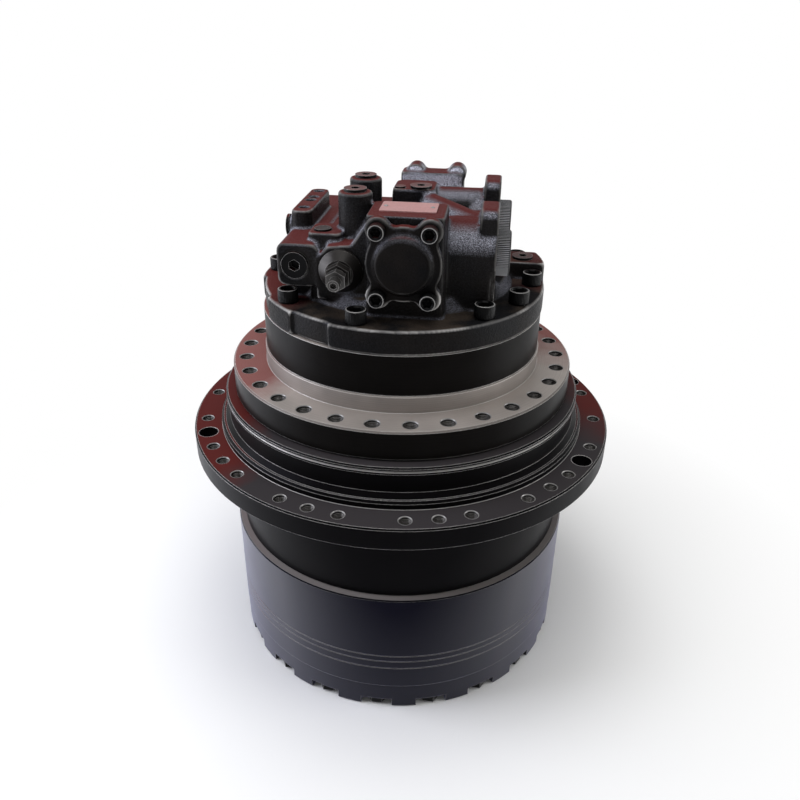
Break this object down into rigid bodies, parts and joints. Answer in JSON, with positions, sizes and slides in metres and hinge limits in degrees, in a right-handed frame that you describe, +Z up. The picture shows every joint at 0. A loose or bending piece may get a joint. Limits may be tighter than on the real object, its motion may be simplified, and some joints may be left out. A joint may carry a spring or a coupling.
{
  "type": "excavator final drive",
  "caption": "Track drive with a planetary reduction in a turning drum, wide sprocket flange, frame flange, and a piston motor with a cast valve cover on top.",
  "frame": {"origin": "centre of the end cover's outer face, which the drive stands on", "axes": "+Z up along the drive axis towards the motor, -Y towards the regulator cover, +X towards the oil ports"},
  "size_m": [0.5599, 0.56, 0.6454],
  "materials": {
    "drum_paint": "satin black paint over turned steel",
    "cover_paint": "satin black paint",
    "spindle_steel": "satin black paint, bare on the pilot and the frame face",
    "casting_paint": "gloss black paint over sand casting",
    "bolt_steel": "black oxide",
    "gear_steel": "ground",
    "bearing_steel": "ground",
    "carrier_iron": "machined",
    "bronze": "machined",
    "spring_steel": "blued",
    "seal_rubber": "matt",
    "cap_plastic": "knurled rim",
    "plate_metal": "satin, blank"
  },
  "bodies": {
    "spindle_body": {"spindle": "spindle_steel", "motor_cover": "casting_paint", "motor_cover_bolts": "bolt_steel", "regulator_cover": "casting_paint", "regulator_bolts": "bolt_steel", "bearing_inner_races": "bearing_steel", "bearing_rollers": "bearing_steel", "bearing_nut": "bearing_steel", "spindle_seal_ring": "bearing_steel", "spindle_seal_rubber": "seal_rubber", "second_carrier": "carrier_iron", "second_pins": "bearing_steel", "second_sleeves": "bronze", "carrier_bolts": "bolt_steel", "shaft_bearings": "bearing_steel", "shaft_seal": "seal_rubber", "swash_plate": "bearing_steel", "valve_plate": "bronze", "brake_separators": "bearing_steel", "brake_disc_spring": "spring_steel", "speed_control_spring": "spring_steel", "counterbalance_springs": "spring_steel", "spool_end_plugs": "bolt_steel", "relief_valve": "bolt_steel", "relief_locknut": "bolt_steel", "relief_screw": "bolt_steel", "gauge_plugs": "bolt_steel", "port_caps": "cap_plastic", "nameplate": "plate_metal"},
    "drum": {"end_cover": "cover_paint", "end_cover_bolts": "bolt_steel", "oil_plugs": "bolt_steel", "thrust_pad": "bronze", "ring_gear": "drum_paint", "ring_gear_bolts": "bolt_steel", "sprocket_hub": "drum_paint", "bearing_outer_races": "bearing_steel", "drum_seal_ring": "bearing_steel", "drum_seal_rubber": "seal_rubber"},
    "first_stage": {"first_carrier": "carrier_iron", "first_pins": "bearing_steel", "first_sleeves": "bronze", "second_sun": "gear_steel"},
    "motor_shaft": {"drive_shaft": "gear_steel", "first_sun": "gear_steel", "cylinder_block": "carrier_iron", "pistons": "bearing_steel", "slippers": "bronze", "retainer_plate": "bearing_steel", "brake_friction_plates": "bronze"},
    "brake": {"brake_piston": "bearing_steel"},
    "counterbalance": {"counterbalance_spool": "bearing_steel"},
    "speed_control": {"speed_control_spool": "bearing_steel"},
    "first_planet_a_body": {"first_planet_a": "gear_steel"},
    "first_planet_b_body": {"first_planet_b": "gear_steel"},
    "first_planet_c_body": {"first_planet_c": "gear_steel"},
    "second_planet_a_body": {"second_planet_a": "gear_steel"},
    "second_planet_b_body": {"second_planet_b": "gear_steel"},
    "second_planet_c_body": {"second_planet_c": "gear_steel"},
    "second_planet_d_body": {"second_planet_d": "gear_steel"}
  },
  "joints": [
    {"name": "drum_spin", "type": "hinge", "parent": "spindle_body", "child": "drum", "pos_m": [0, 0, 0.2], "axis": [0, 0, 1], "continuous": true},
    {"name": "first_stage_spin", "type": "hinge", "parent": "spindle_body", "child": "first_stage", "pos_m": [0, 0, 0.1], "axis": [0, 0, 1], "continuous": true},
    {"name": "motor_shaft_spin", "type": "hinge", "parent": "spindle_body", "child": "motor_shaft", "pos_m": [0, 0, 0.3], "axis": [0, 0, 1], "continuous": true},
    {"name": "first_planet_a_spin", "type": "hinge", "parent": "first_stage", "child": "first_planet_a_body", "pos_m": [0, 0.117, 0.064], "axis": [0, 0, 1], "continuous": true},
    {"name": "first_planet_b_spin", "type": "hinge", "parent": "first_stage", "child": "first_planet_b_body", "pos_m": [-0.10132, -0.0585, 0.064], "axis": [0, 0, 1], "continuous": true},
    {"name": "first_planet_c_spin", "type": "hinge", "parent": "first_stage", "child": "first_planet_c_body", "pos_m": [0.10132, -0.0585, 0.064], "axis": [0, 0, 1], "continuous": true},
    {"name": "second_planet_a_spin", "type": "hinge", "parent": "spindle_body", "child": "second_planet_a_body", "pos_m": [0.0891, 0.0891, 0.139], "axis": [0, 0, 1], "continuous": true},
    {"name": "second_planet_b_spin", "type": "hinge", "parent": "spindle_body", "child": "second_planet_b_body", "pos_m": [-0.0891, 0.0891, 0.139], "axis": [0, 0, 1], "continuous": true},
    {"name": "second_planet_c_spin", "type": "hinge", "parent": "spindle_body", "child": "second_planet_c_body", "pos_m": [-0.0891, -0.0891, 0.139], "axis": [0, 0, 1], "continuous": true},
    {"name": "second_planet_d_spin", "type": "hinge", "parent": "spindle_body", "child": "second_planet_d_body", "pos_m": [0.0891, -0.0891, 0.139], "axis": [0, 0, 1], "continuous": true},
    {"name": "brake_slide", "type": "slide", "parent": "spindle_body", "child": "brake", "axis": [0, 0, 1], "range_m": [0, 0.002], "stiffness_N_per_m": 60000, "springref_m": -0.003, "deforming": ["brake_disc_spring"]},
    {"name": "counterbalance_slide", "type": "slide", "parent": "spindle_body", "child": "counterbalance", "axis": [0, 1, 0], "range_m": [-0.007, 0.007], "stiffness_N_per_m": 4000, "deforming": ["counterbalance_springs"]},
    {"name": "speed_control_slide", "type": "slide", "parent": "spindle_body", "child": "speed_control", "axis": [0, 1, 0], "range_m": [0, 0.006], "stiffness_N_per_m": 3000, "springref_m": -0.004, "deforming": ["speed_control_spring"]}
  ],
  "couplings": [
    {"joint": "first_stage_spin", "follows": "drum_spin", "ratio": -3.2},
    {"joint": "motor_shaft_spin", "follows": "drum_spin", "ratio": -22.4},
    {"joint": "first_planet_a_spin", "follows": "drum_spin", "ratio": 10.752},
    {"joint": "first_planet_b_spin", "follows": "drum_spin", "ratio": 10.752},
    {"joint": "first_planet_c_spin", "follows": "drum_spin", "ratio": 10.752},
    {"joint": "second_planet_a_spin", "follows": "drum_spin", "ratio": 2.9091},
    {"joint": "second_planet_b_spin", "follows": "drum_spin", "ratio": 2.9091},
    {"joint": "second_planet_c_spin", "follows": "drum_spin", "ratio": 2.9091},
    {"joint": "second_planet_d_spin", "follows": "drum_spin", "ratio": 2.9091}
  ]
}
